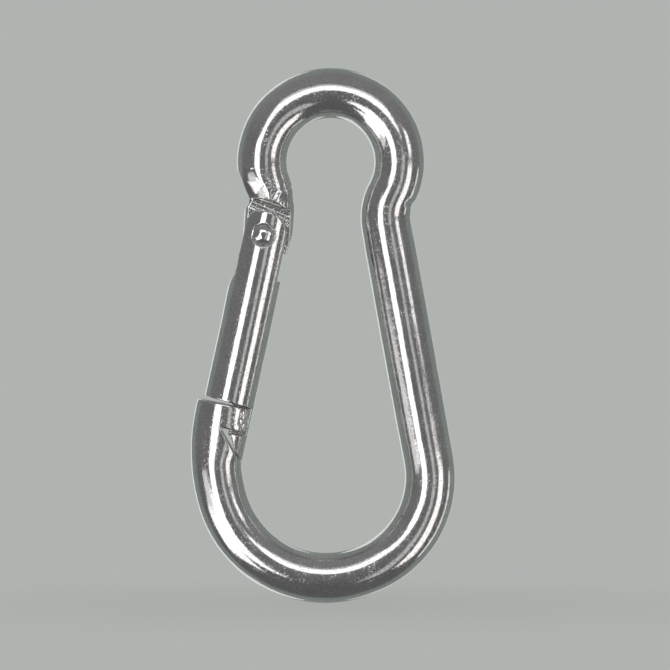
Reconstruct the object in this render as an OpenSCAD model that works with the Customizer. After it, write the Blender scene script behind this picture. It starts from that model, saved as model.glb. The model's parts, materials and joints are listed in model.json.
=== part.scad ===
// Spring snap hook: a pear-shaped loop of bent round bar, closed by a sprung gate.
// +X points across the hook to the long leg, +Y along the hinge pin, +Z up to the eye.
// The origin is the middle of the closed hook's outline, in the plane of the bar's axis.
// Gate coordinates, set by gate_frame(), start on the hinge pin: x inward across the gate,
// y along the pin, z up the gate. A "drop" is a distance below the pin, down the gate.

/* [Bar] */
// Diameter of the round bar
bar_d = 11.2; // [10.8:0.1:11.4]

/* [Loop] */
// Bend radius of the eye, to the middle of the bar
eye_r = 15.4; // [15:0.1:15.8]
// Bend radius of the neck beside the hinge
neck_r = 16.3; // [14:0.1:18]
// Bend radius of the neck at the top of the long leg
waist_r = 11; // [9:0.5:13]
// Straight length of the long leg
leg_len = 53.5; // [52:0.5:55]
// Bend radius of the bow beside the long leg
side_r = 21.8; // [21.4:0.1:22.2]
// Bend radius of the bottom of the bow
base_r = 24; // [23.6:0.1:24.4]
// Bend radius of the bow below the nose
nose_r = 41; // [38:1:44]

/* [Hinge] */
// Thickness of the flat tongue on the bar
tongue_t = 5.4; // [4.8:0.1:5.6]
// Width of the slot between the gate's two ears
ear_gap = 6; // [5.8:0.1:6.4]
// Diameter of the rivet's shank
rivet_d = 3.6; // [3:0.1:4]
// Diameter of the rivet's domed heads
rivet_head_d = 4.6; // [4.4:0.1:5]

/* [Latch] */
// Thickness of the blade that joins the gate to its wedge
blade_t = 4; // [3:0.1:5]
// Length of the nose's head, over the blade
head_len = 5.35; // [5:0.05:5.6]

/* [Spring] */
// Diameter of the bore for the spring and the plunger
bore_d = 5.4; // [5:0.1:5.6]
// Diameter of the spring's wire
wire_d = 0.7; // [0.5:0.05:0.9]
// Number of turns of the spring
spring_turns = 11; // [8:1:13]

/* [Hidden] */
$fn = 96;
bar_r = bar_d / 2;
far = 30; // longer than any cut needs

// Bar: heading of the tongue, then the turns of the bends, all in degrees
tongue_heading = 86.2;
neck_turn = 22.8;
eye_turn = 227.1;
waist_turn = 38.3;
side_turn = 53.8;
base_turn = 121;
nose_turn = 31.9;
tongue_len = 9.3;

// Each stretch of the bar is [length, bend radius, turn]. A turn to the left is positive.
stretches = [
    [tongue_len, 0, 0],
    [0, neck_r, neck_turn],
    [0, eye_r, -eye_turn],
    [0, waist_r, waist_turn],
    [leg_len, 0, 0],
    [0, side_r, -side_turn],
    [0, base_r, -base_turn],
    [0, nose_r, -nose_turn]
];
EYE = 2;
SIDE = 5;
BASE = 6;
NOSE = 7;

// A place on the bar is [x, z, heading]. start_of(i) is where stretch i begins.
function start_of(i) = i == 0 ? [0, 0, tongue_heading] : beyond(start_of(i - 1), stretches[i - 1]);
function side_of(s) = sign(s[2]);
function centre_of(p, s) = [
    p[0] - side_of(s) * s[1] * sin(p[2]),
    p[1] + side_of(s) * s[1] * cos(p[2])
];
function bend_end(c, s, heading) = [
    c[0] + side_of(s) * s[1] * sin(heading),
    c[1] - side_of(s) * s[1] * cos(heading),
    heading
];
function straight_end(p, s) = [p[0] + s[0] * cos(p[2]), p[1] + s[0] * sin(p[2]), p[2]];
function beyond(p, s) = s[1] == 0 ? straight_end(p, s) : bend_end(centre_of(p, s), s, p[2] + s[2]);
function bend_centre(i) = centre_of(start_of(i), stretches[i]);

// Middle of the outline, measured from the end of the tongue
mid = [
    (bend_centre(SIDE)[0] + side_r + bend_centre(NOSE)[0] - nose_r) / 2,
    (bend_centre(EYE)[1] + eye_r + bend_centre(BASE)[1] - base_r) / 2
];

// Joints between stretches
ball_gap = 0.15;
ball_proud = 0.02;

// Gate: the pin's place beside the end of the tongue, and the lean of the gate from upright
pin = [-0.75, 4.2];
bar_end = start_of(len(stretches));
end_x = -1; // the end of the bar stands this far outside the pin, across the gate
pin_to_end = norm([bar_end[0] - pin[0], bar_end[1] - pin[1]]);
end_drop = sqrt(pin_to_end * pin_to_end - end_x * end_x);
gate_lean = atan2(pin[0] - bar_end[0], pin[1] - bar_end[1]) + atan2(end_x, end_drop);
nose_trim = 1; // the bar's end is trimmed square to the gate by this much
nose_drop = end_drop + nose_trim;
gate_x = 0.4; // the gate's axis stands this far inside the pin
gate_face = gate_x + bar_r; // inner face of the closed gate

// Hinge
tongue_drop = 3.1;
tongue_inner = 6.2; // inner edge of the tongue, level with the pin, and its slant
tongue_slant = 7.3;
shoulder_rise = 7.15;
shoulder_tilt = 8.5;
ear_top = 5;
ear_r = 5.3;
ear_corner_r = 1.6;
ear_corner_x = -2.75;
slot_drop = 9.5;
pin_clearance = 0.05;
seat_y = 4.9; // distance of the rivet's seats from the middle plane
seat_rim = 0.35; // width of the seat's ring round a head
seat_d = rivet_head_d + 2 * seat_rim;
head_rim = 0.25;
head_dome = 1.1;

// Latch
blade_x = [1.2, 1.7]; // outer edge of the blade, at the gate's end and at the wedge
blade_clearance = 0.25;
head_gap = 0.8; // between the nose's head and the wedge
notch_x = 0.2; // outer edge of the notch and of the blade's slot
notch_mouth = 0.55; // height of the notch at that edge
head_drop = nose_drop + head_len;
gate_end_in = nose_drop - 0.2; // the gate's end slants: its drop at the inner and the outer face
gate_end_out = nose_drop - 0.85;
face_gap = 0.08; // the wedge stands this far off the sloping face of the nose
slope_mid = [4.1, 4.9]; // corner and tip of the sloping face: x, and distance below the nose's head
slope_tip = [6, 6.6];
wedge_top = 2.05; // length of the wedge's top edge, out from over the corner
wedge_tip = 4.6; // distance from the slope's tip down to the end of the wedge's edge
overlap = 0.2; // neighbouring shapes of one solid run this far into each other

// Spring and plunger
bore_drop = 28.8;
drill_point = 1.6;
plunger_clearance = 0.08; // all round the plunger, in the bore
plunger_d = bore_d - 2 * plunger_clearance;
plunger_top = tongue_drop + 0.1;
plunger_len = 9.8;
end_gap = 0.02; // between the spring and what it presses on
spring_top = plunger_top + plunger_len + end_gap;
spring_end = bore_drop - end_gap;
spring_clearance = 0.2; // all round the spring, in the bore
spring_r = bore_d / 2 - spring_clearance - wire_d / 2;
coil_pitch_closed = wire_d * 1.02; // rise of a closed turn

// Gate coordinates
module gate_frame() {
    translate([pin[0] - mid[0], 0, pin[1] - mid[1]])
        rotate([0, gate_lean, 0])
            children();
}

// A cylinder along the pin, through the whole hook
module across(d) {
    rotate([90, 0, 0])
        cylinder(h = 2 * bar_d, d = d, center = true);
}

// A plate of the given outline in the plane of the hook
module plate(thickness) {
    rotate([90, 0, 0])
        linear_extrude(height = thickness, center = true)
            children();
}

// One stretch of the bar, straight or bent. It stops short of the balls at its ends.
module stretch(i) {
    p = start_of(i);
    s = stretches[i];
    if (s[1] == 0) {
        translate([p[0] - mid[0], 0, p[1] - mid[1]])
            rotate([0, 90 - p[2], 0])
                translate([0, 0, ball_gap])
                    cylinder(h = s[0] - 2 * ball_gap, d = bar_d);
    } else {
        c = centre_of(p, s);
        short = ball_gap / s[1] * 180 / PI;
        first = s[2] > 0 ? p[2] - 90 : p[2] + 90 + s[2];
        translate([c[0] - mid[0], 0, c[1] - mid[1]])
            rotate([90, 0, 0])
                rotate([0, 0, first + short])
                    rotate_extrude(angle = abs(s[2]) - 2 * short)
                        translate([s[1], 0])
                            circle(d = bar_d);
    }
}

// A ball joins two stretches. It stands a hair proud, so that it meets each in a clean circle.
module joining_ball(i) {
    p = start_of(i);
    translate([p[0] - mid[0], 0, p[1] - mid[1]])
        sphere(r = bar_r + ball_proud);
}

// The nose is spread inward, so that its head is flush with the closed gate
module nose_head() {
    gate_frame()
        translate([gate_x, 0, -head_drop])
            cylinder(h = head_len, d = bar_d);
}

// The end of the bar is cut square to the gate
module nose_end() {
    gate_frame()
        translate([-bar_d, -bar_d, -nose_drop])
            cube([2 * bar_d, 2 * bar_d, 3 * nose_trim]);
}

// Two milled flats leave the tongue. Their slanting end is the shoulder over the ears.
module tongue_flats() {
    gate_frame()
        rotate([0, shoulder_tilt, 0])
            for (side = [-1, 1])
                translate([-bar_d, side > 0 ? tongue_t / 2 : -tongue_t / 2 - bar_d, shoulder_rise - far])
                    cube([2 * bar_d, bar_d, far]);
}

// The tongue ends square to the gate, over the plunger, and its inner edge is trimmed
module tongue_end() {
    gate_frame() {
        translate([-bar_d, -bar_d, -tongue_drop - bar_d])
            cube([2 * bar_d, 2 * bar_d, bar_d]);
        rotate([0, tongue_slant, 0])
            translate([tongue_inner, -bar_d, -bar_d])
                cube([bar_d, 2 * bar_d, bar_d + ear_top]);
    }
}

// The notch under the nose's head, with the two-part slope that the wedge closes on
module nose_notch() {
    gate_frame()
        plate(2 * bar_d)
            polygon([
                [notch_x, -head_drop],
                [far / 2, -head_drop],
                [far / 2, -head_drop - slope_tip[1]],
                [slope_tip[0], -head_drop - slope_tip[1]],
                [slope_mid[0], -head_drop - slope_mid[1]],
                [notch_x, -head_drop - notch_mouth]
            ]);
}

// The slot in the nose's head that the blade swings through
module blade_slot() {
    width = blade_t + 2 * blade_clearance;
    gate_frame()
        translate([notch_x, -width / 2, -head_drop - overlap])
            cube([bar_d, width, head_len + 2 * nose_trim]);
}

module hook_body() {
    color("gainsboro")
        difference() {
            union() {
                for (i = [0 : len(stretches) - 1])
                    stretch(i);
                for (i = [1 : len(stretches) - 1])
                    joining_ball(i);
                nose_head();
            }
            tongue_flats();
            tongue_end();
            nose_end();
            gate_frame()
                across(rivet_d + 2 * pin_clearance);
            nose_notch();
            blade_slot();
        }
}

// Outline of the hinge end and the square-cut latch end of the gate, without its blade
module gate_outline() {
    circle(r = ear_r);
    translate([ear_corner_x, ear_top - ear_corner_r])
        circle(r = ear_corner_r);
    translate([ear_corner_x, 0])
        square([-ear_corner_x, ear_top]);
    translate([ear_corner_x - ear_corner_r, 0])
        square([ear_corner_r, ear_top - ear_corner_r]);
    polygon([
        [-bar_d, 0],
        [bar_d, 0],
        [bar_d, -gate_end_in],
        [gate_face, -gate_end_in],
        [gate_x - bar_r, -gate_end_out],
        [-bar_d, -gate_end_out]
    ]);
}

// Outline of the blade, from inside the gate's end to just inside the wedge
module blade_outline() {
    polygon([
        [blade_x[0], -gate_end_out + overlap],
        [bar_d, -gate_end_out + overlap],
        [bar_d, -head_drop - head_gap - overlap],
        [blade_x[1] + 2 * overlap, -head_drop - head_gap - overlap],
        [blade_x[1], -head_drop - head_gap + overlap]
    ]);
}

// Outline of the wedge at the end of the blade
module wedge_outline() {
    top = -head_drop - head_gap;
    polygon([
        [slope_mid[0] - wedge_top + face_gap, top],
        [bar_d, top],
        [bar_d, -head_drop - slope_tip[1] - wedge_tip + face_gap],
        [slope_tip[0] + face_gap, -head_drop - slope_tip[1] + face_gap],
        [slope_mid[0] + face_gap, -head_drop - slope_mid[1] + face_gap]
    ]);
}

// The gate's round bar, longer than the gate itself
module gate_bar() {
    translate([gate_x, 0, -head_drop - 2 * slope_tip[1]])
        cylinder(h = head_drop + 2 * slope_tip[1] + bar_d, d = bar_d);
}

module gate() {
    color("silver")
        gate_frame()
            difference() {
                intersection() {
                    gate_bar();
                    union() {
                        plate(2 * bar_d)
                            gate_outline();
                        plate(2 * bar_d)
                            wedge_outline();
                        plate(blade_t)
                            blade_outline();
                    }
                }
                translate([-bar_d, -ear_gap / 2, -slot_drop])
                    cube([2 * bar_d, ear_gap, far]);
                translate([gate_x, 0, -bore_drop])
                    cylinder(h = bore_drop, d = bore_d);
                translate([gate_x, 0, -bore_drop - drill_point])
                    cylinder(h = drill_point, d1 = 0, d2 = bore_d);
                across(rivet_d);
                for (side = [-1, 1])
                    rotate([90 * side, 0, 0])
                        translate([0, 0, seat_y])
                            cylinder(h = bar_d, d = seat_d);
            }
}

// One domed head, standing on the seat in an ear
module rivet_head() {
    head_r = rivet_head_d / 2;
    dome_r = (head_r * head_r + head_dome * head_dome) / (2 * head_dome);
    intersection() {
        cylinder(h = head_rim + head_dome, d = rivet_head_d);
        translate([0, 0, head_rim + head_dome - dome_r])
            sphere(r = dome_r);
    }
}

module hinge_rivet() {
    color("lightgray")
        gate_frame() {
            rotate([90, 0, 0])
                cylinder(h = 2 * seat_y, d = rivet_d, center = true);
            for (side = [-1, 1])
                rotate([90 * side, 0, 0])
                    translate([0, 0, seat_y])
                        rivet_head();
        }
}

module spring_plunger() {
    color("darkgray")
        gate_frame()
            translate([gate_x, 0, -plunger_top - plunger_len])
                cylinder(h = plunger_len, d = plunger_d);
}

// Height of the wire after so many turns: the first and last turns lie closed
function coil_z(turns) = let(
        closed = coil_pitch_closed,
        open = (spring_end - spring_top - wire_d - 2 * closed) / (spring_turns - 2)
    )
    turns < 1 ? turns * closed
    : turns < spring_turns - 1 ? closed + (turns - 1) * open
    : closed + (spring_turns - 2) * open + (turns - spring_turns + 1) * closed;

// A coil: rings of points round the wire, joined one to the next
module coil(steps, ring) {
    last = steps * spring_turns;
    points = [
        for (i = [0 : last], j = [0 : ring - 1])
            let(a = 360 * i / steps, b = 360 * j / ring, r = spring_r + wire_d / 2 * cos(b))
            [r * cos(a), r * sin(a), coil_z(i / steps) + wire_d / 2 * sin(b)]
    ];
    sides = [
        for (i = [0 : last - 1], j = [0 : ring - 1])
            let(k = (j + 1) % ring, low = i * ring, high = low + ring)
            [low + j, low + k, high + k, high + j]
    ];
    first_cap = [for (j = [ring - 1 : -1 : 0]) j];
    last_cap = [for (j = [0 : ring - 1]) last * ring + j];
    polyhedron(points, concat([first_cap, last_cap], sides));
}

module gate_spring() {
    color("dimgray")
        gate_frame()
            translate([gate_x, 0, -spring_end + wire_d / 2])
                coil(steps = 20, ring = 8);
}

hook_body();
gate();
hinge_rivet();
gate_spring();
spring_plunger();
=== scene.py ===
"""Looks of the spring snap hook: a bent round bar, a sprung gate on a rivet, its spring and its plunger.

The hook, the gate and the rivet each start as a fine remesh of their CAD solid. The vertices then move onto
a distance field in millimetres. It repeats the CAD part's shapes, and adds what those leave out: rounded
edges and the marks of forging, milling and sawing. A distance is negative inside the metal.
Gate coordinates start on the hinge pin: t inward across the gate, y along the pin, h up the gate.
"""

import json
import math
from collections import namedtuple

import bpy
import numpy as np
from mathutils import Matrix, Vector


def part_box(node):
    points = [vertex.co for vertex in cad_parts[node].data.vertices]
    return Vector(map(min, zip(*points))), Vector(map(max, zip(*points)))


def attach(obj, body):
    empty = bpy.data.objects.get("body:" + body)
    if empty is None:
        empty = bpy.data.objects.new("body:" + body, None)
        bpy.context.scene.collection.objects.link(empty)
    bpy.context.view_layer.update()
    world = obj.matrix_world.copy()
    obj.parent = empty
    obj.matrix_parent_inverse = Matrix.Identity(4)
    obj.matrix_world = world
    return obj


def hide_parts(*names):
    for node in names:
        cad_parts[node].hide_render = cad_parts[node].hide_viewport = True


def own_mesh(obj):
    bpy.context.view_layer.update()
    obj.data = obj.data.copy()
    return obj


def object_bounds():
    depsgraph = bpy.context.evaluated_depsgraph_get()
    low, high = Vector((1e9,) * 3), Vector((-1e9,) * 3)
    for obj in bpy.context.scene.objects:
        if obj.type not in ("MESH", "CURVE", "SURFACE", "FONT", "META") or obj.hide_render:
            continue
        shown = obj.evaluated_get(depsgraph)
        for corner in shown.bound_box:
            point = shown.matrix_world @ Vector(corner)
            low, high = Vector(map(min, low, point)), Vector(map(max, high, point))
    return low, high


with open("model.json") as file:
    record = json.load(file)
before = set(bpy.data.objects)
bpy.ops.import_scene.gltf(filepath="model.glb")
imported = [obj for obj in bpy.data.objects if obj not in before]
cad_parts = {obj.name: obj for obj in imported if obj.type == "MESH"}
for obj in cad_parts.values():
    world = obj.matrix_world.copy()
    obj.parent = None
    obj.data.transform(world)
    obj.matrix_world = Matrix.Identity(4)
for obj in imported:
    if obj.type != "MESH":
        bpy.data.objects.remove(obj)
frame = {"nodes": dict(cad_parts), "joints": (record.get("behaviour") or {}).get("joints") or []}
cad_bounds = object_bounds()

MM = 0.001

# ---------------------------------------------------------------- dimensions, in millimetres

joints = {j["name"]: j for j in frame["joints"]}
PIN = np.array(joints["gate_hinge"]["pos_m"]) / MM
DOWN_GATE = np.array(joints["plunger_slide"]["axis"])
UP_GATE = -DOWN_GATE
INWARD = np.array([UP_GATE[2], 0.0, -UP_GATE[0]])

gate_low, gate_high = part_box("gate")
BAR_R = (gate_high.y - gate_low.y) / 2 / MM

# The bar's path: its first point beside the pin, its heading there, then (length, bend radius, turn)
PATH_START = PIN[[0, 2]] + np.array([0.75, -4.2])
PATH_HEADING = 86.2
STRETCHES = [
    (9.3, 0, 0),  # tongue
    (0, 16.3, 22.8),  # left neck
    (0, 15.4, -227.1),  # eye
    (0, 11, 38.3),  # right neck
    (53.5, 0, 0),  # long leg
    (0, 21.8, -53.8),  # bow, as far as the nose
    (0, 24, -121),
    (0, 41, -31.9),
]
EYE = 2
RIGHT_NECK = 3

EDGE = 0.28  # radius of a tumbled edge
FAR = 1e3  # distance to a shape that isn't there

# Where the cuts act: the hinge's above HINGE_FROM, the latch's below LATCH_TO, and none on the long leg
HINGE_FROM = -12
LATCH_TO = -30
LEG_FROM = 14

# Hinge
TONGUE_HALF = 2.7
TONGUE_DROP = 3.1
TONGUE_INNER = 6.2
TONGUE_SLANT = math.radians(7.3)
TONGUE_TRIM_TOP = 5.5
SHOULDER_TILT = math.radians(8.5)
SHOULDER_FOOT = 6.7
SHOULDER_TOP = 7.8
EAR_GAP_HALF = 3.0
EAR_R = 5.3
EAR_CORNER = (-2.25, 3.2)
EAR_CORNER_R = 1.8
EAR_FOOT_SLOPE = 0.55
SLOT_DROP = 9.5
SLOT_RUNOUT = ((-5.35, -12.7), (-4.4, -9.5))  # where the cutter left the bar, on its outer side
RIVET_R = 1.8
RIVET_HEAD_R = 2.3
RIVET_SEAT_Y = 4.9
RIVET_SEAT_R = 2.65
RIVET_SEAT_MIDDLE = (0.15, -0.1)
RIVET_RIM = 0.25
RIVET_DOME = 1.1
RIVET_FLAT = 0.06  # this much is hammered flat off the dome
PIN_CLEARANCE = 0.05

# Latch
GATE_X = 0.4
GATE_R = 5.68
NOSE_DROP = 38.8044
HEAD_LEN = 5.35
HEAD_DROP = NOSE_DROP + HEAD_LEN
HEAD_GAP = 0.8
NOTCH_X = 0.2
NOTCH_MOUTH = 0.55
SLOPE_MID = (4.1, 4.9)
SLOPE_TIP = (6.0, 6.6)
FACE_GAP = 0.08
WEDGE_TOP = 2.05
BLADE_HALF = 2.0
BLADE_CLEARANCE = 0.25
BLADE_X = (1.2, 1.7)
BLADE_ROOT = 1.0  # the blade starts this far up inside the gate
BLADE_TIP = 0.6  # and ends this far below the top of the wedge
BLADE_SLOT = (0.7, 5.7)  # reach of the nose's slot, above the nose's end and below it
GATE_END_IN = NOSE_DROP - 0.2
GATE_END_OUT = NOSE_DROP - 0.85

# Spring and bore
BORE_R = 2.7
BORE_DROP = 28.8
WIRE_R = 0.35
SPRING_R = 2.15
SPRING_TOP = 13.02
SPRING_TURNS = 11
SPRING_END_GAP = 0.02
CLOSED_PITCH = 2.04 * WIRE_R


# ---------------------------------------------------------------- noise


class Noise:
    """Smooth value noise on a repeating lattice, from -1 to 1."""

    SIDE = 32

    def __init__(self, seed):
        self.grid = np.random.default_rng(seed).uniform(-1, 1, (self.SIDE,) * 3)

    def __call__(self, points, size):
        q = points / size
        base = np.floor(q).astype(np.int64)
        f = q - base
        f = f * f * (3 - 2 * f)
        total = np.zeros(len(points))
        for corner in np.ndindex(2, 2, 2):
            weight = np.ones(len(points))
            index = []
            for axis, side in enumerate(corner):
                weight = weight * (f[:, axis] if side else 1 - f[:, axis])
                index.append((base[:, axis] + side) % self.SIDE)
            total += weight * self.grid[tuple(index)]
        return total


noise = Noise(11)


# ---------------------------------------------------------------- distance helpers


def smooth_max(a, b, r=EDGE):
    """The larger of two distances, with the edge between them rounded to about r."""
    h = np.maximum(r - np.abs(a - b), 0) / r
    return np.maximum(a, b) + h * h * r / 4


def smooth_min(a, b, r=EDGE):
    return -smooth_max(-a, -b, r)


def cut(a, b, r=EDGE):
    """a with b taken away."""
    return smooth_max(a, -b, r)


def step(x, start, end):
    """0 before the start, rising smoothly to 1 at the end."""
    t = np.clip((x - start) / (end - start), 0, 1)
    return t * t * (3 - 2 * t)


def fall(x, start, end):
    """1 before the start, falling smoothly to 0 at the end."""
    return step(-x, -end, -start)


def bump(x, middle, half):
    """1 at the middle, falling smoothly to 0 at middle +- half."""
    return np.clip(1 - ((x - middle) / half) ** 2, 0, 1) ** 2


def half_plane(x, z, a, b):
    """Distance from the line through a and b. It is negative to the left, looking from a to b."""
    dx, dz = b[0] - a[0], b[1] - a[1]
    length = math.hypot(dx, dz)
    return (dz * (x - a[0]) - dx * (z - a[1])) / length


def to_gate(p):
    """Row frame to gate coordinates: t, y, h."""
    q = p - PIN
    return q @ INWARD, q[:, 1], q @ UP_GATE


# ---------------------------------------------------------------- the bar's path


Stretch = namedtuple("Stretch", "place heading centre radius turn length first")


def build_path():
    """Each stretch with its start, heading and centre, and the arc length where it starts."""
    place = np.array(PATH_START, float)
    heading = math.radians(PATH_HEADING)
    along = 0.0
    built = []
    for length, radius, turn in STRETCHES:
        turn = math.radians(turn)
        side = math.copysign(1, turn)
        left = np.array([-math.sin(heading), math.cos(heading)])
        if radius:
            centre = place + side * radius * left
            length = radius * abs(turn)
            end_heading = heading + turn
            end_left = np.array([-math.sin(end_heading), math.cos(end_heading)])
            end = centre - side * radius * end_left
        else:
            centre = None
            end_heading = heading
            end = place + length * np.array([math.cos(heading), math.sin(heading)])
        built.append(Stretch(place, heading, centre, radius, turn, length, along))
        place, heading, along = end, end_heading, along + length
    return built


PATH = build_path()
EYE_START = PATH[EYE].first
RIGHT_NECK_START = PATH[RIGHT_NECK].first
PATH_END = PATH[-1].first + PATH[-1].length


def on_bar(p):
    """Arc length along the bar, offset towards the hook's inside, and distance from the bar's axis."""
    x, y, z = p.T
    best = np.full(len(p), np.inf)
    along_best = np.zeros(len(p))
    inner_best = np.zeros(len(p))
    for place, heading, centre, radius, turn, length, first in PATH:
        if radius:
            side = math.copysign(1, turn)
            start_angle = heading - side * math.pi / 2
            dx, dz = x - centre[0], z - centre[1]
            angle = (np.arctan2(dz, dx) - start_angle) * side
            angle = (angle + math.pi - abs(turn) / 2) % (2 * math.pi) - math.pi + abs(turn) / 2
            clamped = np.clip(angle, 0, abs(turn))
            along = radius * clamped
            rho = np.hypot(dx, dz)
            nearest_angle = start_angle + side * clamped
            off = np.hypot(dx - radius * np.cos(nearest_angle), dz - radius * np.sin(nearest_angle))
            inner = side * (rho - radius)
        else:
            ux, uz = math.cos(heading), math.sin(heading)
            dx, dz = x - place[0], z - place[1]
            along = np.clip(dx * ux + dz * uz, 0, length)
            off = np.hypot(dx - along * ux, dz - along * uz)
            inner = dx * uz - dz * ux
        nearer = off < best
        best = np.where(nearer, off, best)
        along_best = np.where(nearer, first + along, along_best)
        inner_best = np.where(nearer, inner, inner_best)
    return along_best, inner_best, np.hypot(best, y)


# ---------------------------------------------------------------- hook body

FLANK_SEAM = 3.6  # the pressed flank begins this far round the eye
FLANK_SEAM_SLOPE = 3.5
FLANK_ANGLE = math.radians(202)  # where the flank faces
FLANK_MIDDLE = (-18.0, 34.5)  # a point on the flank's ridge, in x and z
FLANK_DEPTH = 5.15
FLANK_LEAN = math.radians(59)  # from where the flank faces to where its two sides face
FLANK_SIDE = 5.64  # from the bar's middle to each side
FLANK_SIDE_R = 9.5
FLANK_BULGE = 0.5  # how far its sides fall back this far from its middle
FLANK_HALF = 4.0
FLANK_FOOT = -3.2  # it fades out from here down, counted from where the eye starts
FLANK_FOOT_SLOPE = 0.5
FLANK_FOOT_CURVE = 0.06

CREASE = 0.5  # the crease in the right neck, this far past the eye
CREASE_DEPTH = 0.5
CREASE_HALF = 1.5
CREASE_OUTER = (-5.0, -3.3)  # it is full at the bar's outer edge, and fades out between these

WRINKLES = (-3.6, 2.8)  # middle and half length, from where the eye starts
WRINKLES_INNER = (-1.2, 0.6)  # across the bar, they deepen from 0 to full between these
FAINT_WRINKLES = (-1.5, 4.5)
FAINT_WRINKLES_INNER = (-2.5, -0.5)
FAINT_SHARE = 0.22
WRINKLE_SIZE = 1.25
WRINKLE_STRETCH = np.array([1.0, 0.45, 0.3])
WRINKLE_TURN = np.array([[0.75, 0, 0.65], [0, 1, 0], [-0.65, 0, 0.75]])
WRINKLE_SHARPNESS = 1.8
WRINKLE_DEPTH = 0.14

NOSE_SPREAD = 1.45  # the nose is this much wider at its end
NOSE_SPREAD_SLOPE = 0.09  # and wider still by this for each millimetre away from it
NOSE_SPREAD_FADE = (7.5, 16)  # the spread fades out between these distances from the end
LEG_SWELL = 0.11  # the long leg is this much thicker in its middle
LEG_SWELL_MIDDLE = 32
LEG_SWELL_HALF = 34

MILL_TILT = 1.6 * SHOULDER_TILT
MILL_FOOT = (4.1, 4.3)  # the soft lower and upper edge of the milled band under the shoulder
MILL_TOP = (6.7, 7.1)
MILL_DEPTH = 0.10
GROOVE_DEPTH = 0.04
GROOVE_SPACING = 0.85
GROOVE_BEND = 1.2

WORN_OUTER = (3.2, 3.6)  # the soft edges of the worn patch on the nose's front
WORN_INNER = (5.3, 5.7)
WORN_FOOT = (0.3, 0.6)  # up from the bottom of the nose's head
WORN_TOP = (0.5, 0.8)  # down from the nose's end


def pressed_flank(p, along):
    """The flank that the die of the tongue presses into the left neck. Negative where metal stays."""
    x, y, z = p.T
    dx, dz = x - FLANK_MIDDLE[0], z - FLANK_MIDDLE[1]
    reach = dx * math.cos(FLANK_ANGLE) + dz * math.sin(FLANK_ANGLE)
    from_middle = dz * math.cos(FLANK_ANGLE) - dx * math.sin(FLANK_ANGLE)
    side_out = reach + FLANK_DEPTH + FLANK_BULGE * (1 - bump(from_middle, 0, FLANK_HALF))
    side_out = side_out + (FLANK_SIDE_R - FLANK_SIDE) * math.cos(FLANK_LEAN)
    side_y = np.abs(y) + (FLANK_SIDE_R - FLANK_SIDE) * math.sin(FLANK_LEAN)
    flank = np.maximum(reach, np.hypot(side_out, side_y) - FLANK_SIDE_R) - 0.05 * noise(p, 1.9)
    beyond_seam = np.maximum(0, along - (EYE_START + FLANK_SEAM))
    below_foot = np.maximum(0, (EYE_START + FLANK_FOOT) - along)
    fade = FLANK_FOOT_SLOPE * below_foot + FLANK_FOOT_CURVE * below_foot**2
    return flank - FLANK_SEAM_SLOPE * beyond_seam - fade


def neck_wrinkles(p, along, inner):
    """Depth of the folds that the forging leaves over the shoulder, on the inner half of the bar."""
    from_eye = along - EYE_START
    deep = bump(from_eye, *WRINKLES) * step(inner, *WRINKLES_INNER)
    faint = bump(from_eye, *FAINT_WRINKLES) * step(inner, *FAINT_WRINKLES_INNER)
    folds = 1 - np.abs(noise((p @ WRINKLE_TURN) * WRINKLE_STRETCH, WRINKLE_SIZE)) * WRINKLE_SHARPNESS
    depth = WRINKLE_DEPTH * np.clip(folds, 0, 1) + 0.02 * noise(p, 0.8)
    return (deep + FAINT_SHARE * faint) * depth


def neck_crease(along, inner):
    """Depth of the sharp fold where the right neck starts, on the outer side of the bar."""
    fold = np.clip(1 - np.abs(along - RIGHT_NECK_START - CREASE) / CREASE_HALF, 0, 1)
    return CREASE_DEPTH * fall(inner, *CREASE_OUTER) * fold


def bar_distance(p):
    """The bent round bar, with its nose spread inward to an ellipse that is flush with the closed gate."""
    along, inner, off = on_bar(p)
    to_end = PATH_END - along
    spread = (NOSE_SPREAD + NOSE_SPREAD_SLOPE * to_end) * fall(to_end, *NOSE_SPREAD_FADE)
    wide = BAR_R + spread / 2
    section = np.hypot((inner - spread / 2) * BAR_R / wide, p[:, 1])
    off = np.where((spread > 0) & (to_end > 0), section, off)
    swell = LEG_SWELL * bump(along, RIGHT_NECK_START + LEG_SWELL_MIDDLE, LEG_SWELL_HALF)
    waver = 0.035 * noise(p, 9.0) + 0.012 * noise(p, 2.6)
    d = smooth_max(off - (BAR_R + swell + waver), pressed_flank(p, along), 0.12)
    return d + neck_wrinkles(p, along, inner) + neck_crease(along, inner)


def tongue_distance(t, y, h):
    """Space that the two milled flats and their slanting shoulders take away."""
    up = h * math.cos(SHOULDER_TILT) + t * math.sin(SHOULDER_TILT)
    depth = np.abs(y) - TONGUE_HALF
    outward = np.clip(depth / (BAR_R - TONGUE_HALF), 0, 1)
    shoulder = SHOULDER_FOOT + (SHOULDER_TOP - SHOULDER_FOOT) * outward
    mill_up = h * math.cos(MILL_TILT) + t * math.sin(MILL_TILT)
    band = step(mill_up, *MILL_FOOT) * fall(up, *MILL_TOP)
    grooves = 0.5 + 0.5 * np.sin(2 * math.pi * up / GROOVE_SPACING + GROOVE_BEND * t / BAR_R)
    depth = depth - band * (MILL_DEPTH - GROOVE_DEPTH * grooves)
    return np.maximum(-depth, up - shoulder)


def notch_distance(t, h):
    """Space under the nose's head."""
    below = h + HEAD_DROP
    mouth, middle = (NOTCH_X, -NOTCH_MOUTH), (SLOPE_MID[0], -SLOPE_MID[1])
    tip = (SLOPE_TIP[0], -SLOPE_TIP[1])
    ceiling = smooth_max(half_plane(t, below, mouth, middle), half_plane(t, below, middle, tip), 0.3)
    return np.maximum.reduce([below, NOTCH_X - t, ceiling, tip[1] - below])


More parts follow.
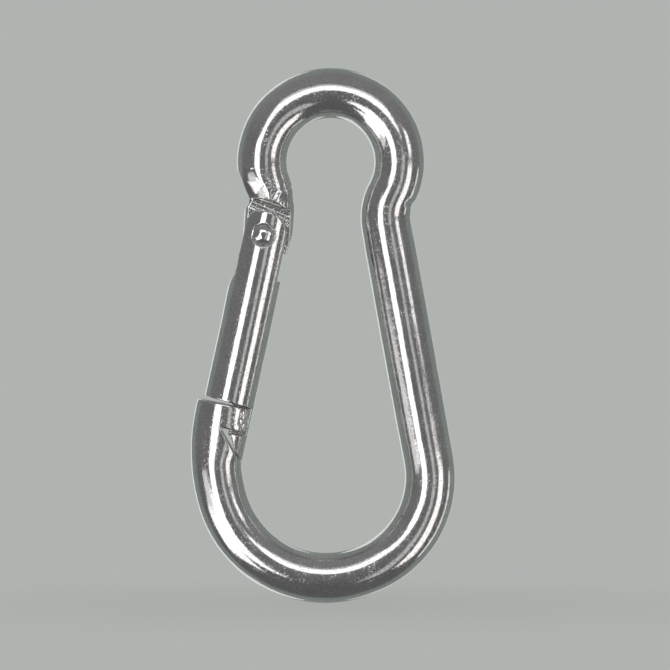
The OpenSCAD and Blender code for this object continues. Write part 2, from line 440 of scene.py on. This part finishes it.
def worn_patch(t, y, h):
    """1 on the rubbed patch on the nose's front, and 0 round it."""
    across = step(t, *WORN_OUTER) * fall(t, *WORN_INNER)
    up = step(h + HEAD_DROP, *WORN_FOOT) * step(-h - NOSE_DROP, *WORN_TOP)
    return across * up * fall(y, -1, 0)


def cut_tongue(d, t, y, h):
    """The hinge end of the bar: the tongue, its trimmed inner edge and foot, and the hole for the pin."""
    near = (h > HINGE_FROM) & (t < LEG_FROM)
    d = cut(d, np.where(near, tongue_distance(t, y, h), FAR), 0.22)
    slant = t * math.cos(TONGUE_SLANT) - h * math.sin(TONGUE_SLANT)
    d = smooth_max(d, np.where(near & (h < TONGUE_TRIM_TOP), slant - TONGUE_INNER, -FAR))
    d = smooth_max(d, np.where(near, -TONGUE_DROP - h, -FAR))
    return cut(d, np.where(near, np.hypot(t, h) - RIVET_R - PIN_CLEARANCE, FAR), 0.1)


def cut_nose(d, p, t, y, h):
    """The latch end of the bar: its sawn end, the notch under the head, and the slot for the blade."""
    near = (h < LATCH_TO) & (t < LEG_FROM)
    d = smooth_max(d, np.where(near, h + NOSE_DROP + 0.05 * noise(p, 1.4), -FAR), 0.5)
    d = cut(d, np.where(near, notch_distance(t, h), FAR), 0.45)
    d = d + np.where(near, worn_patch(t, y, h), 0) * (0.05 + 0.10 * noise(p, 0.5))
    slot_ends = np.maximum(h + NOSE_DROP - BLADE_SLOT[0], -h - NOSE_DROP - BLADE_SLOT[1])
    slot = np.maximum.reduce([np.abs(y) - BLADE_HALF - BLADE_CLEARANCE, NOTCH_X - t, slot_ends])
    return cut(d, np.where(near, slot, FAR), 0.2)


def hook_distance(p):
    t, y, h = to_gate(p)
    return cut_nose(cut_tongue(bar_distance(p), t, y, h), p, t, y, h)


# ---------------------------------------------------------------- gate

BURR_REACH = 0.9  # the burrs reach this far from the slot's edges
BURR_SIDE = (-4.6, -3.6)  # they stand on the outer side only, and fade out between these
BURR_FOOT = (-9.6, -8.8)  # their soft lower and upper end
BURR_TOP = (-4.4, -3.4)
BURR_SPACING = 0.8
BURR_HEIGHT = 0.42
BURR_SINK = 0.05  # between them the edge falls back by this


def ear_outline(t, h):
    """The rounded hinge end of the gate, seen along the pin."""
    ring = np.hypot(t, h) - EAR_R
    corner = np.hypot(t - EAR_CORNER[0], h - EAR_CORNER[1]) - EAR_CORNER_R
    side = np.maximum(np.abs(t - EAR_CORNER[0]) - EAR_CORNER_R, h - EAR_CORNER[1])
    top_side = np.abs(t - EAR_CORNER[0] / 2) + EAR_CORNER[0] / 2
    top = np.maximum(top_side, h - EAR_CORNER[1] - EAR_CORNER_R)
    return np.minimum.reduce([ring, corner, side, top, h - EAR_FOOT_SLOPE * np.minimum(t, 0)])


def slot_burrs(t, y, h):
    """Ragged lumps of metal that the slot's cutter left along its outer edges."""
    near = bump(np.abs(y), EAR_GAP_HALF, BURR_REACH) * fall(t, *BURR_SIDE)
    near = near * step(h, *BURR_FOOT) * fall(h, *BURR_TOP)
    teeth = np.abs(np.sin(math.pi * h / BURR_SPACING + 0.9 * noise(np.stack([t, y, h], 1), 1.1)))
    return near * (BURR_HEIGHT * teeth - BURR_SINK)


def wedge_distance(t, h, round_bar):
    """The wedge at the gate's end, which closes on the sloping face of the nose."""
    below = h + HEAD_DROP
    top = (SLOPE_MID[0] - WEDGE_TOP + FACE_GAP, -HEAD_GAP)
    middle = (SLOPE_MID[0] + FACE_GAP, -SLOPE_MID[1] + FACE_GAP)
    tip = (SLOPE_TIP[0] + FACE_GAP, -SLOPE_TIP[1] + FACE_GAP)
    wedge = smooth_max(below + HEAD_GAP, half_plane(t, below, top, middle), 0.2)
    wedge = smooth_max(wedge, half_plane(t, below, middle, tip), 0.15)
    return smooth_max(wedge, round_bar, 0.25)


def blade_distance(t, y, h, round_bar):
    """The thin blade that joins the wedge to the gate through the nose's slot."""
    edge_x = BLADE_X[0] + (BLADE_X[1] - BLADE_X[0]) * fall(h, -HEAD_DROP - HEAD_GAP, -NOSE_DROP)
    ends = np.maximum(h + NOSE_DROP - BLADE_ROOT, -h - HEAD_DROP - HEAD_GAP - BLADE_TIP)
    blade = np.maximum.reduce([np.abs(y) - BLADE_HALF, edge_x - t, ends])
    return smooth_max(blade, round_bar, 0.25)


def cut_gate(d, t, y, h):
    """The fork's slot, the spring's bore, the seats of the rivet's heads and the hole for its shank."""
    slot_end = smooth_min(-SLOT_DROP - h, half_plane(t, h, *SLOT_RUNOUT), 0.6)
    d = cut(d, np.maximum(np.abs(y) - EAR_GAP_HALF, slot_end), 0.2)
    d = cut(d, np.maximum.reduce([np.hypot(t - GATE_X, y) - BORE_R, -BORE_DROP - h, h]), 0.15)
    from_seat = np.hypot(t - RIVET_SEAT_MIDDLE[0], h - RIVET_SEAT_MIDDLE[1])
    d = cut(d, np.maximum(from_seat - RIVET_SEAT_R, RIVET_SEAT_Y - np.abs(y)), 0.12)
    return cut(d, np.hypot(t, h) - RIVET_R, 0.05)


def gate_distance(p):
    t, y, h = to_gate(p)
    g = np.stack([t, y, h], 1)
    round_bar = np.hypot(t - GATE_X, y) - (GATE_R + 0.03 * noise(g, 7.0) + 0.010 * noise(g, 2.2))
    round_bar = round_bar - slot_burrs(t, y, h)
    slanted_end = half_plane(t, h, (GATE_X + BAR_R, -GATE_END_IN), (GATE_X - BAR_R, -GATE_END_OUT))
    body = smooth_max(round_bar, -slanted_end, 0.35)
    body = smooth_max(body, ear_outline(t, h), 0.4)
    blade = blade_distance(t, y, h, round_bar)
    latch = smooth_min(blade, wedge_distance(t, h, round_bar), 0.2)
    return cut_gate(smooth_min(body, latch, 0.2), t, y, h)


# ---------------------------------------------------------------- rivet


def rivet_distance(p):
    t, y, h = to_gate(p)
    g = np.stack([t, y, h], 1)
    top_y = RIVET_SEAT_Y + RIVET_RIM + RIVET_DOME
    dome_r = (RIVET_HEAD_R**2 + RIVET_DOME**2) / (2 * RIVET_DOME)
    dome = np.sqrt(t * t + h * h + (np.abs(y) - (top_y - dome_r)) ** 2) - dome_r
    dome = dome + 0.05 * noise(g, 1.5) + 0.03 * noise(g, 0.6)
    head = np.maximum.reduce([dome, np.hypot(t, h) - RIVET_HEAD_R, RIVET_SEAT_Y - np.abs(y)])
    head = smooth_max(head, np.abs(y) - top_y + RIVET_FLAT, 0.2)
    shank = np.maximum(np.hypot(t, h) - RIVET_R, np.abs(y) - RIVET_SEAT_Y - 0.1)
    return np.minimum(head, shank)


# ---------------------------------------------------------------- meshes

FIT_STEPS = 4  # times that the vertices are moved
LONGEST_MOVE = 0.35
LEAST_SLOPE = 0.25  # squared; it keeps the moves short where the distance hardly changes
FIT_REACH = 0.012  # the gradient is sampled this far out for the moves; NORMAL_REACH sets it for the normals
NORMAL_REACH = 0.03


def slope_of(distance, p, reach):
    """Distance and its gradient, from four samples round each point."""
    total = np.zeros(len(p))
    gradient = np.zeros((len(p), 3))
    for corner in np.array([[1, -1, -1], [-1, -1, 1], [-1, 1, -1], [1, 1, 1]], float):
        sample = distance(p + reach * corner)
        total += sample
        gradient += sample[:, None] * corner
    return total / 4, gradient / (4 * reach)


def linked(name, mesh):
    """A new object in the scene."""
    obj = bpy.data.objects.new(name, mesh)
    bpy.context.scene.collection.objects.link(obj)
    return obj


def remeshed(name, node, voxel):
    """A CAD node's solid as an even, fine mesh in millimetres."""
    obj = linked(name, frame["nodes"][node].data.copy())
    obj.data.transform(Matrix.Scale(1 / MM, 4))
    fine = obj.modifiers.new("fine", "REMESH")
    fine.mode = "VOXEL"
    fine.voxel_size = voxel
    fine.adaptivity = 0
    evaluated = obj.evaluated_get(bpy.context.evaluated_depsgraph_get())
    mesh = bpy.data.meshes.new_from_object(evaluated)
    obj.modifiers.clear()
    obj.data = mesh
    mesh.name = name
    return obj


def metal_piece(name, node, distance, voxel):
    """A CAD node's solid, with each vertex moved onto the surface where the distance is 0."""
    obj = remeshed(name, node, voxel)
    mesh = obj.data
    p = np.empty(len(mesh.vertices) * 3)
    mesh.vertices.foreach_get("co", p)
    p = p.reshape(-1, 3)
    for _ in range(FIT_STEPS):
        d, g = slope_of(distance, p, FIT_REACH)
        slope = np.maximum((g * g).sum(1), LEAST_SLOPE)
        p = p - np.clip(d, -LONGEST_MOVE, LONGEST_MOVE)[:, None] * g / slope[:, None]
    _, g = slope_of(distance, p, NORMAL_REACH)
    normals = g / np.maximum(np.linalg.norm(g, axis=1), 1e-9)[:, None]
    mesh.vertices.foreach_set("co", (p * MM).ravel())
    mesh.polygons.foreach_set("use_smooth", np.ones(len(mesh.polygons), bool))
    mesh.update()
    mesh.normals_split_custom_set_from_vertices(normals)
    return obj


def coil_height(turns, bottom, top):
    """Height of the wire's middle after so many turns: the first and the last turn lie closed."""
    free = (top - bottom - 2 * CLOSED_PITCH) / (SPRING_TURNS - 2)
    if turns < 1:
        return bottom + turns * CLOSED_PITCH
    if turns < SPRING_TURNS - 1:
        return bottom + CLOSED_PITCH + (turns - 1) * free
    return top - (SPRING_TURNS - turns) * CLOSED_PITCH


def spring_piece(name, steps=40, ring=14):
    """The coil spring: a tube with so many corners in its ring, swept in so many steps a turn."""
    bottom, top = -BORE_DROP + WIRE_R + SPRING_END_GAP, -SPRING_TOP - WIRE_R
    side_y = np.array([0.0, 1.0, 0.0])
    points = []
    last = steps * SPRING_TURNS
    for i in range(last + 1):
        turn = i / steps
        around = 2 * math.pi * turn
        outward = math.cos(around) * INWARD + math.sin(around) * side_y
        centre = PIN + GATE_X * INWARD + SPRING_R * outward + coil_height(turn, bottom, top) * UP_GATE
        for j in range(ring):
            a = 2 * math.pi * j / ring
            points.append((centre + WIRE_R * (math.cos(a) * outward + math.sin(a) * UP_GATE)) * MM)
    faces = []
    for i in range(last):
        for j in range(ring):
            k = (j + 1) % ring
            faces.append((i * ring + j, i * ring + k, (i + 1) * ring + k, (i + 1) * ring + j))
    faces.append(tuple(range(ring))[::-1])
    faces.append(tuple(last * ring + j for j in range(ring)))
    mesh = bpy.data.meshes.new(name)
    mesh.from_pydata([tuple(p) for p in points], [], faces)
    mesh.polygons.foreach_set("use_smooth", np.ones(len(mesh.polygons), bool))
    return linked(name, mesh)


# ---------------------------------------------------------------- materials

PATCH_MM = 6.0  # the steel's wear changes from patch to patch
GRAIN_MM = 0.6
FLECK_MM = 0.3
PIT_MM = 0.5
PIT_EDGE = (0.1, 0.32)  # a pit's floor ends and its rim stands this far from its middle, in cells
PIT_DEPTH = 0.021  # depths are in millimetres
PITTED = (0.28, 0.66)  # the patches with no pits, and with all of them
SCRATCH_MM = 2.6
SCRATCH_STRETCH = (1.0, 0.35, 0.07)
SCRATCH_TURN = (0.35, 0.5, 0.1)
SCRATCH_EDGE = 0.012
SCRATCH_DEPTH = 0.0018
UNSCRATCHED = (0.42, 0.6)  # the patches with all the scratches, and with none
MOTTLE = 0.2  # the colour is this much lighter and darker from place to place
CORNERS = (0.40, 0.485)  # pointiness of a corner full of painted shade, and of a face with none
# painted shade: corners and pits are darkened towards the colour below by up to this share
PAINTED_SHADE_SHARE = 0.5
PAINTED_SHADE_COLOUR = (0.055, 0.05, 0.045)


class Nodes:
    """Short ways to add and join the nodes of a material or of the world."""

    def __init__(self, owner):
        owner.use_nodes = True
        self.tree = owner.node_tree

    def new(self, kind, **settings):
        node = self.tree.nodes.new("ShaderNode" + kind)
        for name, value in settings.items():
            setattr(node, name, value)
        return node

    def feed(self, node, inputs):
        """Joins an output to each input, or sets the input to a plain value."""
        for key, value in inputs.items():
            if isinstance(value, bpy.types.NodeSocket):
                self.tree.links.new(value, node.inputs[key])
            else:
                node.inputs[key].default_value = value
        return node

    def ramp(self, value, low, high, low_out=0.0, high_out=1.0, shape="LINEAR"):
        node = self.new("MapRange", clamp=True, interpolation_type=shape)
        limits = {"From Min": low, "From Max": high, "To Min": low_out, "To Max": high_out}
        return self.feed(node, {"Value": value, **limits}).outputs["Result"]

    def math(self, kind, a, b):
        return self.feed(self.new("Math", operation=kind), {0: a, 1: b}).outputs[0]

    def mix(self, factor, a, b):
        """Colour a where the factor is 0, and colour b where it is 1."""
        node = self.new("Mix", data_type="RGBA")
        return self.feed(node, {"Factor": factor, 6: a, 7: b}).outputs[2]

    def noise(self, place, size_mm, detail, roughness=0.6):
        inputs = {"Vector": place, "Scale": 1 / (size_mm * MM), "Detail": detail, "Roughness": roughness}
        return self.feed(self.new("TexNoise"), inputs).outputs["Fac"]

    def cells(self, place, size_mm, feature="F1"):
        node = self.new("TexVoronoi", feature=feature)
        return self.feed(node, {"Vector": place, "Scale": 1 / (size_mm * MM)}).outputs["Distance"]


def pits(tree, place, patches):
    """1 in the middle of each pit. Some patches have many, and others none."""
    pit = tree.ramp(tree.cells(place, PIT_MM), *PIT_EDGE, 1.0, 0.0)
    return tree.math("MULTIPLY", pit, tree.ramp(patches, *PITTED))


def long_scratches(tree, place, patches):
    """1 on a few long thin lines, in the patches without pits."""
    drawn_out = {"Vector": place, "Scale": SCRATCH_STRETCH, "Rotation": SCRATCH_TURN}
    stretched = tree.feed(tree.new("Mapping"), drawn_out).outputs["Vector"]
    line = tree.ramp(tree.cells(stretched, SCRATCH_MM, "DISTANCE_TO_EDGE"), 0.0, SCRATCH_EDGE, 1.0, 0.0)
    return tree.math("MULTIPLY", line, tree.ramp(patches, *UNSCRATCHED, 1.0, 0.0))


def mottled_colour(tree, place, colour, patches, pit):
    """The steel's colour, lighter and darker in flecks, with painted shade in the corners and the pits."""
    flecks = tree.ramp(tree.noise(place, FLECK_MM, 1.0, 0.5), 0.3, 0.7, 0.0, 0.7)
    light = tree.math("ADD", tree.ramp(patches, 0.35, 0.65, 0.0, 0.3), flecks)
    darker, lighter = ([c * share for c in colour] + [1] for share in (1 - MOTTLE, 1 + MOTTLE))
    mottled = tree.mix(light, darker, lighter)
    # painted shade: darker where the surface curves inward, and in the pits
    corners = tree.ramp(tree.new("NewGeometry").outputs["Pointiness"], *CORNERS, 1.0, 0.0)
    painted_shade = tree.math("MAXIMUM", corners, tree.math("MULTIPLY", pit, 0.7))
    return tree.mix(tree.math("MULTIPLY", painted_shade, PAINTED_SHADE_SHARE), mottled, (*PAINTED_SHADE_COLOUR, 1))


def steel(name, colour, roughness, grain_mm=GRAIN_MM, grain=0.016):
    """Worn, tumble-polished steel: a fine grain with pits, a few long scratches, and painted shade in the
    corners and the pits.
    """
    material = bpy.data.materials.new(name)
    tree = Nodes(material)
    place = tree.new("TexCoord").outputs["Object"]
    patches = tree.noise(place, PATCH_MM, 5.0)
    pit = pits(tree, place, patches)
    scratch = long_scratches(tree, place, patches)

    height = tree.math("MULTIPLY", tree.noise(place, grain_mm, 3.0), grain)
    height = tree.math("SUBTRACT", height, tree.math("MULTIPLY", pit, PIT_DEPTH))
    height = tree.math("SUBTRACT", height, tree.math("MULTIPLY", scratch, SCRATCH_DEPTH))
    relief = tree.feed(tree.new("Bump"), {"Strength": 1.0, "Distance": MM, "Height": height})

    rough = tree.ramp(patches, 0.3, 0.7, roughness * 0.8, roughness * 1.3)
    rough = tree.math("ADD", rough, tree.math("MULTIPLY", scratch, 0.05))
    rough = tree.math("ADD", rough, tree.math("MULTIPLY", pit, 0.25))
    looks = {
        "Metallic": 1.0,
        "Base Color": mottled_colour(tree, place, colour, patches, pit),
        "Roughness": rough,
        "Normal": relief.outputs["Normal"],
    }
    tree.feed(material.node_tree.nodes["Principled BSDF"], looks)
    return material


def paint(obj, material):
    obj.data.materials.clear()
    obj.data.materials.append(material)


# ---------------------------------------------------------------- stage, in metres and degrees

CAMERA_FAR = 1.2
CAMERA_SENSOR = 36  # in millimetres
PICTURE_SIDE = 0.1503  # side of the square that the picture shows at the hook
PICTURE_MIDDLE = Vector((0.0027, 0.0, 0.0001))  # the hook stands a little left of it
BACKDROP = (0.435, 0.455, 0.440)
ROOM_LOW = 0.14  # what the steel reflects of the room in front of it, low down and high up
ROOM_HIGH = 0.25
WALLS = (0.27, 0.30, 0.285)  # and behind it
FLOOR_COLOUR = (0.62, 0.64, 0.62)
FLOOR_HALF = 3.0
FLOOR_GAP = 0.0005
FLOOR_GLOW = 0.78  # share of the backdrop's colour in the floor, right under the hook
FLOOR_FADE = (0.02, 0.16)  # between these distances from the hook it all becomes the backdrop's
SOFTBOX_FAR = 0.7


def backdrop_world():
    """Pale all round for the camera. The steel reflects a dim room in front of it and pale walls behind."""
    world = bpy.data.worlds.new("room")
    bpy.context.scene.world = world
    tree = Nodes(world)
    world.node_tree.nodes.clear()
    direction = tree.feed(tree.new("SeparateXYZ"), {0: tree.new("TexCoord").outputs["Generated"]})
    behind = tree.ramp(direction.outputs["Y"], 0.1, 0.4, shape="SMOOTHSTEP")
    front = tree.ramp(direction.outputs["Z"], -0.5, 0.7, ROOM_LOW, ROOM_HIGH)
    room = tree.feed(tree.new("Background"), {"Color": tree.mix(behind, front, (*WALLS, 1))})
    pale = tree.feed(tree.new("Background"), {"Color": (*BACKDROP, 1)})
    camera_sees = tree.new("LightPath").outputs["Is Camera Ray"]
    either = tree.feed(tree.new("MixShader"), {0: camera_sees, 1: room.outputs[0], 2: pale.outputs[0]})
    tree.feed(tree.new("OutputWorld"), {"Surface": either.outputs[0]})


def floor_material():
    """Pale under the hook, and glowing in the backdrop's colour away from it."""
    material = bpy.data.materials.new("floor")
    tree = Nodes(material)
    pale = material.node_tree.nodes["Principled BSDF"]
    tree.feed(pale, {"Base Color": (*FLOOR_COLOUR, 1), "Roughness": 0.6})
    glow = tree.feed(tree.new("Emission"), {"Color": (*BACKDROP, 1)})
    away = tree.new("VectorMath", operation="LENGTH")
    tree.feed(away, {0: tree.new("TexCoord").outputs["Object"]})
    fade = tree.ramp(away.outputs["Value"], *FLOOR_FADE, FLOOR_GLOW, shape="SMOOTHSTEP")
    both = tree.feed(tree.new("MixShader"), {0: fade, 1: pale.outputs[0], 2: glow.outputs[0]})
    tree.feed(material.node_tree.nodes["Material Output"], {"Surface": both.outputs[0]})
    return material


def floor():
    """A large square just under the hook."""
    z = cad_bounds[0][2] - FLOOR_GAP
    corners = [(x * FLOOR_HALF, y * FLOOR_HALF, z) for x, y in ((-1, -1), (1, -1), (1, 1), (-1, 1))]
    mesh = bpy.data.meshes.new("floor")
    mesh.from_pydata(corners, [], [(0, 1, 2, 3)])
    obj = linked("floor", mesh)
    paint(obj, floor_material())
    # the low softboxes shine on the hook from below the floor
    obj.visible_glossy = False
    obj.visible_shadow = False


def softbox(name, left, right, low, high, brightness, colour=(1, 1, 1)):
    """A soft light, seen from the hook between two azimuths and two elevations.

    Azimuth 0 is the camera's side, and it grows towards the right of the picture.
    """
    azimuth = math.radians((left + right) / 2)
    elevation = math.radians((low + high) / 2)
    level = math.cos(elevation)
    direction = Vector((math.sin(azimuth) * level, -math.cos(azimuth) * level, math.sin(elevation)))
    width = 2 * SOFTBOX_FAR * math.tan(math.radians(right - left) / 2)
    height = 2 * SOFTBOX_FAR * math.tan(math.radians(high - low) / 2)
    light = bpy.data.lights.new(name, "AREA")
    light.shape = "RECTANGLE"
    light.size, light.size_y = width, height
    light.energy = brightness * math.pi * width * height
    light.color = colour
    obj = linked(name, light)
    obj.location = direction * SOFTBOX_FAR
    obj.rotation_euler = direction.to_track_quat("Z", "Y").to_euler()
    obj.visible_camera = False


def studio_lights():
    """Each box makes one of the stripes along the steel. The last two light the back."""
    softbox("left_box", -34, -12, -30, 14, 2.0)
    softbox("top_box", -24, 25, 15, 33, 1.7)
    softbox("dim_box", 14, 26, -40, 8, 0.5)
    softbox("top_glow", -24, 25, 33, 41, 0.6)
    softbox("right_box", 41, 63, -45, 4, 1.45, (1.0, 0.965, 0.955))
    softbox("upper_right_box", 45, 59, 8, 23, 1.3)
    softbox("low_left_box", -76, -48, -44, -20, 1.6)
    softbox("low_middle_box", -48, -34, -44, -11, 1.6)
    softbox("low_left_glow", -70, -48, -20, -8, 0.8)
    softbox("side_strip", 95, 103, -45, 0, 1.1)
    softbox("back_left_box", -172, -146, -45, 40, 0.7)
    softbox("back_right_box", 158, 172, -45, 40, 0.45)


def camera():
    """Level with the hook, and square to the plane of its bar."""
    data = bpy.data.cameras.new("camera")
    data.sensor_width = CAMERA_SENSOR
    data.lens = CAMERA_SENSOR * CAMERA_FAR / PICTURE_SIDE
    data.clip_start = 0.01
    obj = linked("camera", data)
    obj.location = PICTURE_MIDDLE + Vector((0, -CAMERA_FAR, 0))
    obj.rotation_euler = (math.pi / 2, 0, 0)
    bpy.context.scene.camera = obj


# ---------------------------------------------------------------- build

HOOK_VOXEL = 0.22
GATE_VOXEL = 0.17
RIVET_VOXEL = 0.1
BODY_STEEL = (0.66, 0.655, 0.65)
GATE_STEEL = (0.67, 0.665, 0.66)
RIVET_STEEL = (0.70, 0.70, 0.70)
SPRING_STEEL = (0.52, 0.52, 0.51)
PLUNGER_STEEL = (0.56, 0.56, 0.56)

hook_piece = metal_piece("hook_body_metal", "hook_body", hook_distance, HOOK_VOXEL)
gate_piece = metal_piece("gate_metal", "gate", gate_distance, GATE_VOXEL)
rivet_piece = metal_piece("hinge_rivet_metal", "hinge_rivet", rivet_distance, RIVET_VOXEL)
spring = spring_piece("gate_spring_wire")
plunger = frame["nodes"]["spring_plunger"]

paint(hook_piece, steel("body_steel", BODY_STEEL, 0.095))
paint(gate_piece, steel("gate_steel", GATE_STEEL, 0.085))
paint(rivet_piece, steel("rivet_steel", RIVET_STEEL, 0.10, grain=0.01))
paint(spring, steel("spring_steel", SPRING_STEEL, 0.25, grain_mm=0.1, grain=0.005))
paint(plunger, steel("plunger_steel", PLUNGER_STEEL, 0.3))

for piece, body, node, slot_name in (
    (hook_piece, "hook", "hook_body", "body_steel"),
    (gate_piece, "swing_gate", "gate", "gate_steel"),
    (rivet_piece, "swing_gate", "hinge_rivet", "rivet_steel"),
    (spring, "swing_gate", "gate_spring", "spring_steel"),
):
    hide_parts(node)
    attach(piece, body)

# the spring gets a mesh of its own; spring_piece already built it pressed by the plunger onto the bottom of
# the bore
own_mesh(spring)

backdrop_world()
floor()
studio_lights()
camera()
bpy.context.scene.view_settings.view_transform = "Standard"
